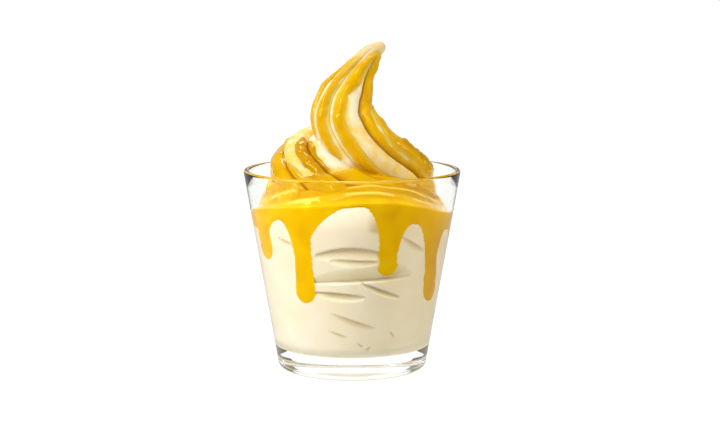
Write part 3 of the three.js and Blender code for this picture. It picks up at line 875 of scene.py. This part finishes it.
def rope_sauce(place, angle, point, radius):
    """Signed distance in mm to the sauce's edge on the rope, negative inside."""
    edge = waving(COAT_EDGE, azimuth_of(point)) - LAST_TURN_DROP * smooth(11.5, 13, place)
    distance = point[..., 2] - edge
    for stream in STREAMS.values():
        row = np.array(stream)
        low = np.interp(place, row[:, 0], row[:, 1])
        high = np.interp(place, row[:, 0], row[:, 2])
        turned = within_half_turn(angle - (low + high) / 2)
        across = np.radians(np.abs(turned) - (high - low) / 2) * radius
        along = np.maximum(row[0, 0] - place, place - row[-1, 0]) * PLACE_LENGTH
        distance = np.minimum(distance, np.maximum(across, along))
    return distance + 0.5 * noise(point, 5, 7) + 0.3 * noise(point, 2.2, 8)


def zone(place, angle, radius, places, angles):
    """1 inside a stretch of the rope between two angles, falling to 0 over its edges."""
    middle = sum(angles) / 2
    turned = np.abs(within_half_turn(angle - middle)) - (angles[1] - angles[0]) / 2
    across = 1 - smooth(-1, 1, np.radians(turned) * radius)
    along = np.maximum(places[0] - place, place - places[1]) * PLACE_LENGTH
    return across * (1 - smooth(-3, 3, along))


def strongest(rows, place, angle, radius):
    """The most that any of the zones in a table gives at each point."""
    found = [value * zone(place, angle, radius, places, angles) for places, angles, value in rows]
    return np.max(found, 0)


def uncoated(place, angle, point, radius):
    """The ice cream itself, and how deep inside the sauce's edge each point lies, in mm."""
    return np.zeros(point.shape[:-1]), -rope_sauce(place, angle, point, radius)


def coat(place, angle, point, radius):
    """How far the sauce stands off the ice cream, and how deep inside its edge each point lies."""
    inside = -rope_sauce(place, angle, point, radius)
    rise = smooth(0, 1, np.clip(inside / COAT_SLOPE, 0, 1)) ** 0.7 * COAT_THICKNESS
    thick = rise * (1 + 0.35 * noise(point, 3.5, 9))
    crests = 1 - 2 * np.abs(noise(point, RUMPLE_SIZE, 12))
    crumple = crests * strongest(RUMPLES, place, angle, radius)
    thick = thick + np.clip(crumple, 0, HIGHEST_RUMPLE) * rise / COAT_THICKNESS
    return np.where(inside > 0, thick - BURIED, np.clip(0.5 * inside - BURIED, -DEEPEST, 0)), inside


# ---------------------------------------------------------------- materials

CREAM_DEEP = (0.93, 0.82, 0.58)
CREAM_PALE = (0.95, 0.88, 0.69)
CREAM_STAINED = (0.94, 0.64, 0.12)
# painted shade in the ice cream's folds and slits, also the brownish tone of the swirl's tip
CREAM_SHADE_AND_TAN = (0.55, 0.40, 0.14)
SAUCE_DEEP = (0.79, 0.44, 0.0)
SAUCE_MIDDLE = (0.88, 0.52, 0.0)
SAUCE_BRIGHT = (0.93, 0.60, 0.001)
# thin sauce over the ice cream, also the highlight painted on the pool's ripple crests
SAUCE_THIN_AND_HIGHLIGHT = (0.95, 0.68, 0.10)
# amber of pooled sauce, also the painted shade in grooves, crumples and the pool's troughs
SAUCE_POOLED_AND_SHADED = (0.60, 0.31, 0.0)
BLACK = (0, 0, 0)
WHITE = (1, 1, 1)


def new_material(name):
    made = bpy.data.materials.new(name)
    made.use_nodes = True
    return made, made.node_tree, made.node_tree.nodes["Principled BSDF"]


def texture_noise(tree, scale, detail):
    """A noise texture on the piece's own coordinates; scale is in lumps per metre."""
    where = add_node(tree, "ShaderNodeTexCoord", {})
    return add_node(tree, "ShaderNodeTexNoise", {
        "Vector": where.outputs["Object"], "Scale": scale, "Detail": detail,
    }).outputs["Fac"]


def attribute(tree, name):
    return add_node(tree, "ShaderNodeAttribute", {}, attribute_name=name).outputs["Fac"]


def blended(tree, share, first, second):
    found = add_node(tree, "ShaderNodeMix", {"Factor": share}, data_type="RGBA")
    give(tree, found, {"A": first, "B": second})
    return found.outputs["Result"]


def colour_ramp(tree, fac, stops):
    ramp = add_node(tree, "ShaderNodeValToRGB", {"Fac": fac})
    for k, (place, colour) in enumerate(stops):
        stop = ramp.color_ramp.elements[k] if k < 2 else ramp.color_ramp.elements.new(place)
        stop.position = place
        stop.color = (*colour, 1)
    return ramp.outputs["Color"]


def spread(tree, fac, low, high):
    """Maps a texture onto a range of values."""
    return add_node(tree, "ShaderNodeMapRange", {
        "Value": fac, "From Min": 0.3, "From Max": 0.7, "To Min": low, "To Max": high,
    }).outputs["Result"]


def bump(tree, fac, height):
    return add_node(tree, "ShaderNodeBump", {
        "Strength": 1.0, "Distance": height, "Height": fac,
    }).outputs["Normal"]


def wetted_copy(material):
    """The same finish where the piece touches the glass, which leaves it no shine of its own, no light
    from the side and no grain."""
    made = material.copy()
    made.name = material.name + "_on_glass"
    shader = made.node_tree.nodes["Principled BSDF"]
    give(made.node_tree, shader, {"Specular IOR Level": 0.0, "Subsurface Weight": 0.0})
    for grain in list(shader.inputs["Normal"].links):
        made.node_tree.links.remove(grain)
    return made


def cream_material():
    """Vanilla ice cream, stained where the sauce thins out over it, with shade painted into its folds and
    slits and a brownish tip.
    """
    made, tree, shader = new_material("vanilla_ice_cream")
    colour = colour_ramp(tree, texture_noise(tree, 90, 4), [(0.3, CREAM_DEEP), (0.7, CREAM_PALE)])
    smear = spread(tree, texture_noise(tree, 240, 3), 0.4, 1.6)
    edge = add_node(tree, "ShaderNodeMath", {0: attribute(tree, "glaze"), 1: smear}, operation="MULTIPLY")
    film = colour_ramp(tree, edge.outputs["Value"], [(0.15, BLACK), (0.95, WHITE)])
    stained = blended(tree, film, colour, CREAM_STAINED)
    grain = texture_noise(tree, 1500, 3)
    give(tree, shader, {
        # painted shade in the folds and slits, and the tip's brownish tone
        "Base Color": blended(tree, attribute(tree, "shade_and_tan"), stained, CREAM_SHADE_AND_TAN),
        "Subsurface Weight": 1.0,
        "Subsurface Radius": (1.0, 0.75, 0.4),
        "Subsurface Scale": 0.0015,
        "Roughness": spread(tree, grain, 0.36, 0.5),
        "IOR": 1.38,
        "Specular IOR Level": 0.35,
        "Normal": bump(tree, grain, 0.00006),
    })
    return made


def sauce_material():
    """Mango sauce: deep yellow where it is thick, paler where it thins out and where a highlight is
    painted on the pool's ripple crests, amber where it pools and where shade is painted in its
    grooves, crumples and the pool's troughs.
    """
    made, tree, shader = new_material("mango_sauce")
    colour = colour_ramp(tree, texture_noise(tree, 160, 3), [
        (0.25, SAUCE_DEEP), (0.5, SAUCE_MIDDLE), (0.75, SAUCE_BRIGHT),
    ])
    # paler where the sauce is thin, and where a highlight is painted on the pool's ripple crests
    body = blended(tree, attribute(tree, "thinness_and_highlight"), colour, SAUCE_THIN_AND_HIGHLIGHT)
    give(tree, shader, {
        # painted shade in the grooves, crumples and the pool's troughs, with the amber of pooled sauce
        "Base Color": blended(tree, attribute(tree, "groove"), body, SAUCE_POOLED_AND_SHADED),
        "Subsurface Weight": 0.5,
        "Subsurface Radius": (1.0, 0.5, 0.05),
        "Subsurface Scale": 0.0008,
        "Roughness": spread(tree, texture_noise(tree, 700, 2), 0.04, 0.09),
        "IOR": 1.4,
        "Specular Tint": (1.0, 0.75, 0.25),
        "Specular IOR Level": 0.5,
        "Normal": bump(tree, texture_noise(tree, 420, 2), 0.0004),
    })
    return made


def glass_material():
    """Clear glass that lets light through to its contents instead of shading them."""
    made, tree, shader = new_material("clear_glass")
    give(tree, shader, {
        "Base Color": (0.975, 0.98, 0.955),
        "Specular Tint": (0.1, 0.1, 0.1),
        "Transmission Weight": 1.0,
        "IOR": 1.5,
        "Roughness": 0.0,
    })
    path = add_node(tree, "ShaderNodeLightPath", {})
    clear = add_node(tree, "ShaderNodeBsdfTransparent", {"Color": (0.93, 0.94, 0.93)})
    blend = add_node(tree, "ShaderNodeMixShader", {
        0: path.outputs["Is Shadow Ray"], 1: shader.outputs["BSDF"], 2: clear.outputs["BSDF"],
    })
    give(tree, tree.nodes["Material Output"], {"Surface": blend.outputs["Shader"]})
    return made


# ---------------------------------------------------------------- the pieces

CUT_BACK = 0.95           # how far the ice cream reaches in behind the sauce's edge
CUT_REACH = 0.3           # how far its cutter stands out past it at the glass
GROOVE_STAIN = 0.75       # how strongly sauce stains the swirl's grooves
TIP_TAN = 0.45            # how brownish the swirl's tip turns, and the heights between which it turns so
TIP_TAN_RISE = (114, 124)
VOXEL = 0.5               # of the mesh that blends the collar into its drips
POOL_FACES = (0.15, 0.5)  # how far up a face looks where the pool's relief starts and is full
THIN_EDGE = (0.1, 1.5)    # from the coat's edge, where it is thinnest and where it is full
SWIRL_DEEP_AND_SHADE = 0.42         # the least share of the pooled colour on the swirl's sauce: a deeper tone, partly painted shade against the light from above
# how much painted shade and pooled amber the crumples take
RUMPLE_POOL_AND_SHADE = 0.9


def finished(made, material, node, wetted=None):
    """A piece on the body, smooth, in its material, standing for the named solid. Faces that lie
    against the glass take the wetted material."""
    made.data.materials.clear()
    made.data.materials.append(material)
    if wetted:
        made.data.materials.append(wetted)
        centres = three_for_each(made.data.polygons, "center") / MM
        against = np.hypot(centres[:, 0], centres[:, 1]) > inner_radius(centres[:, 2]) + WETTING / 3
        made.data.polygons.foreach_set("material_index", against.astype(np.int32))
    made.data.shade_smooth()
    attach(made, "root")
    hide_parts(node)
    return made


def ice_cream(name):
    """The filling, cut back where the sauce lies against the glass, and the swirl above it."""
    made = filling(name)
    cutter = wall_sauce("sauce_cutter", -CUT_BACK, WETTING + CUT_REACH)
    joined(made, [cutter], "DIFFERENCE")
    swirl = rope("swirl_rope", uncoated)
    joined(made, [swirl])
    discard(cutter, swirl)
    mend(made, "sauce_depth", "groove", "film")
    depth = stored(made, "sauce_depth")
    glaze = np.where(depth == 0, 0, np.clip(1 + depth / GLAZE_REACH, 0, 1))
    glaze = np.maximum(glaze, stored(made, "film"))
    glaze = np.maximum(glaze, GROOVE_STAIN * smooth(0.2, 0.9, stored(made, "groove")))
    store(made, "glaze", glaze)
    tip = TIP_TAN * smooth(*TIP_TAN_RISE, positions(made)[:, 2])
    store(made, "shade_and_tan", np.maximum(stored(made, "shade_and_tan"), tip))
    return made


def curtain(name):
    """The pool and the drips, blended into one soft surface, with the pool's relief on its top and shade
    and crest highlights painted on it.
    """
    made = wall_sauce(name, 0.0, WETTING + SAUCE_PROUD)
    remesh = made.modifiers.new("blend", "REMESH")
    remesh.mode = "VOXEL"
    remesh.voxel_size = VOXEL * MM
    relax = made.modifiers.new("relax", "SMOOTH")
    relax.factor = 0.5
    relax.iterations = 5
    plain(made)
    points = positions(made)
    outwards = three_for_each(made.data.vertices, "normal")
    height, shade_and_pooling, thin_and_highlight = pool_relief(points)
    facing = smooth(*POOL_FACES, outwards[:, 2])
    moved = points + outwards * (height * facing)[:, None]
    made.data.vertices.foreach_set("co", (moved * MM).ravel())
    # the pool's painted shade, and its paleness from thin sauce and painted crest highlights
    store(made, "groove", shade_and_pooling)
    store(made, "thinness_and_highlight", thin_and_highlight * facing)
    return made


def swirl_sauce(name):
    """The coat of sauce on the swirl, with shade painted into its grooves and crumples, where the sauce
    also pools deeper, and a little on all of it.
    """
    made = rope(name, coat)
    mend(made, "sauce_depth", "groove", "rumple")
    store(made, "thinness_and_highlight", 1 - smooth(*THIN_EDGE, stored(made, "sauce_depth")))
    # painted shade, with pooled amber, in the grooves and crumples, and at least a share all over
    shade_and_pooling = np.maximum(stored(made, "groove"), RUMPLE_POOL_AND_SHADE * stored(made, "rumple"))
    store(made, "groove", np.maximum(shade_and_pooling, SWIRL_DEEP_AND_SHADE))
    return made


cream_look = cream_material()
sauce_look = sauce_material()
glass_look = glass_material()
finished(ice_cream("ice_cream_swirl"), cream_look, "ice_cream", wetted_copy(cream_look))
finished(curtain("sauce_curtain"), sauce_look, "mango_sauce", wetted_copy(sauce_look))
finished(swirl_sauce("sauce_on_swirl"), sauce_look, "mango_sauce")
finished(tumbler("tumbler", glass_look), glass_look, "glass_tumbler")


# ---------------------------------------------------------------- floor, light and camera

FLOOR_HALF = 30000
FLOOR_GLOW = 0.97
ROOM_GLOW = 1.0
MIRRORED_GLOW = 0.42      # of the floor and the room, as wet and glassy surfaces mirror them

# Softboxes: place, size in metres, power in watts and colour. All of them aim at the middle of the rim.
SOFTBOXES = {
    "key": ((-0.95, -0.45, 0.8), 0.42, 6.4, (0.96, 0.99, 1.22)),
    "glint": ((-0.30, -0.75, 0.75), 0.14, 1.2, WHITE),
    "window": ((0.55, -0.55, 0.85), 0.12, 0.7, (1.0, 0.92, 0.75)),
    "right": ((0.9, 0.05, 0.45), 0.3, 1.5, (1.0, 0.97, 0.9)),
    "back": ((0.05, 0.6, 0.75), 0.3, 1.6, WHITE),
    "top": ((-0.25, -0.35, 1.1), 0.2, 3.3, WHITE),
}
LAMP_AIM = Vector((0, 0, 0.08))

# The room round the tumbler, by direction: bright on its left, warmer on its right, dim below, and
# white behind the tumbler.
ROOM_LEFT = (0.60, 0.61, 0.64)
ROOM_RIGHT = (0.54, 0.42, 0.22)
ROOM_LOW = (0.11, 0.10, 0.06)
BACKDROP = (1.05, 1.05, 1.05)

CAMERA_PLACE = (0.0032, -0.630, 0.153)
CAMERA_TILT = 8.09        # degrees below level
FOCAL_PIXELS = 1570
PHOTO_WIDTH = 720         # pixels
SENSOR_WIDTH = 36


def dimmed_in_mirrors(tree, bright):
    """A brightness that wet and glassy surfaces mirror less strongly than the scene shows it."""
    path = add_node(tree, "ShaderNodeLightPath", {})
    mirrored = add_node(tree, "ShaderNodeMath", {
        0: path.outputs["Is Glossy Ray"], 1: path.outputs["Is Transmission Ray"],
    }, operation="SUBTRACT", use_clamp=True)
    return add_node(tree, "ShaderNodeMapRange", {
        "Value": mirrored.outputs["Value"], "To Min": bright, "To Max": MIRRORED_GLOW,
    }).outputs["Result"]


def sweep_material():
    """A white sweep lit from within."""
    made, tree, shader = new_material("white_sweep")
    give(tree, shader, {
        "Base Color": (0.1, 0.1, 0.1),
        "Roughness": 0.9,
        "Specular IOR Level": 0.0,
        "Emission Color": WHITE,
        "Emission Strength": dimmed_in_mirrors(tree, FLOOR_GLOW),
    })
    return made


def studio_floor():
    corners = [(x * FLOOR_HALF, y * FLOOR_HALF, 0) for x, y in ((-1, -1), (1, -1), (1, 1), (-1, 1))]
    made = mesh_object("floor", corners, [(0, 1, 2, 3)])
    made.data.materials.append(sweep_material())


def softbox(name, where, size, power, colour):
    lamp = bpy.data.lights.new(name, "AREA")
    lamp.size = size
    lamp.energy = power
    lamp.color = colour
    made = linked(name, lamp)
    made.location = where
    made.rotation_euler = (LAMP_AIM - Vector(where)).to_track_quat("-Z", "Y").to_euler()


def studio_world():
    """A white backdrop behind the tumbler and a room with its bright side on the left."""
    world = bpy.data.worlds.new("studio")
    bpy.context.scene.world = world
    world.use_nodes = True
    tree = world.node_tree
    where = add_node(tree, "ShaderNodeTexCoord", {})
    split = add_node(tree, "ShaderNodeSeparateXYZ", {"Vector": where.outputs["Generated"]})

    def ranged(axis, low, high):
        return add_node(tree, "ShaderNodeMapRange", {
            "Value": split.outputs[axis], "From Min": low, "From Max": high,
        }).outputs["Result"]

    upper = colour_ramp(tree, ranged("X", -1, 1), [(0.0, ROOM_LEFT), (1.0, ROOM_RIGHT)])
    room = blended(tree, ranged("Z", 0.1, 0.5), ROOM_LOW, upper)
    give(tree, tree.nodes["Background"], {
        "Color": blended(tree, ranged("Y", 0.755, 0.765), room, BACKDROP),
        "Strength": dimmed_in_mirrors(tree, ROOM_GLOW),
    })


def photo_camera():
    """The camera that took the photo, fitted to the rim, the foot and the wall's lines."""
    data = bpy.data.cameras.new("camera")
    data.sensor_width = SENSOR_WIDTH
    data.lens = FOCAL_PIXELS * SENSOR_WIDTH / PHOTO_WIDTH
    made = linked("camera", data)
    made.location = CAMERA_PLACE
    made.rotation_euler = (math.radians(90 - CAMERA_TILT), 0, 0)
    return made


studio_floor()
for name, lamp in SOFTBOXES.items():
    softbox(name, *lamp)
studio_world()
bpy.context.scene.camera = photo_camera()
light_paths = bpy.context.scene.cycles
light_paths.max_bounces = 16                      # light runs a long way round in the tumbler's wall
light_paths.glossy_bounces = 8
light_paths.transmission_bounces = 12
bpy.context.scene.view_settings.view_transform = "Standard"
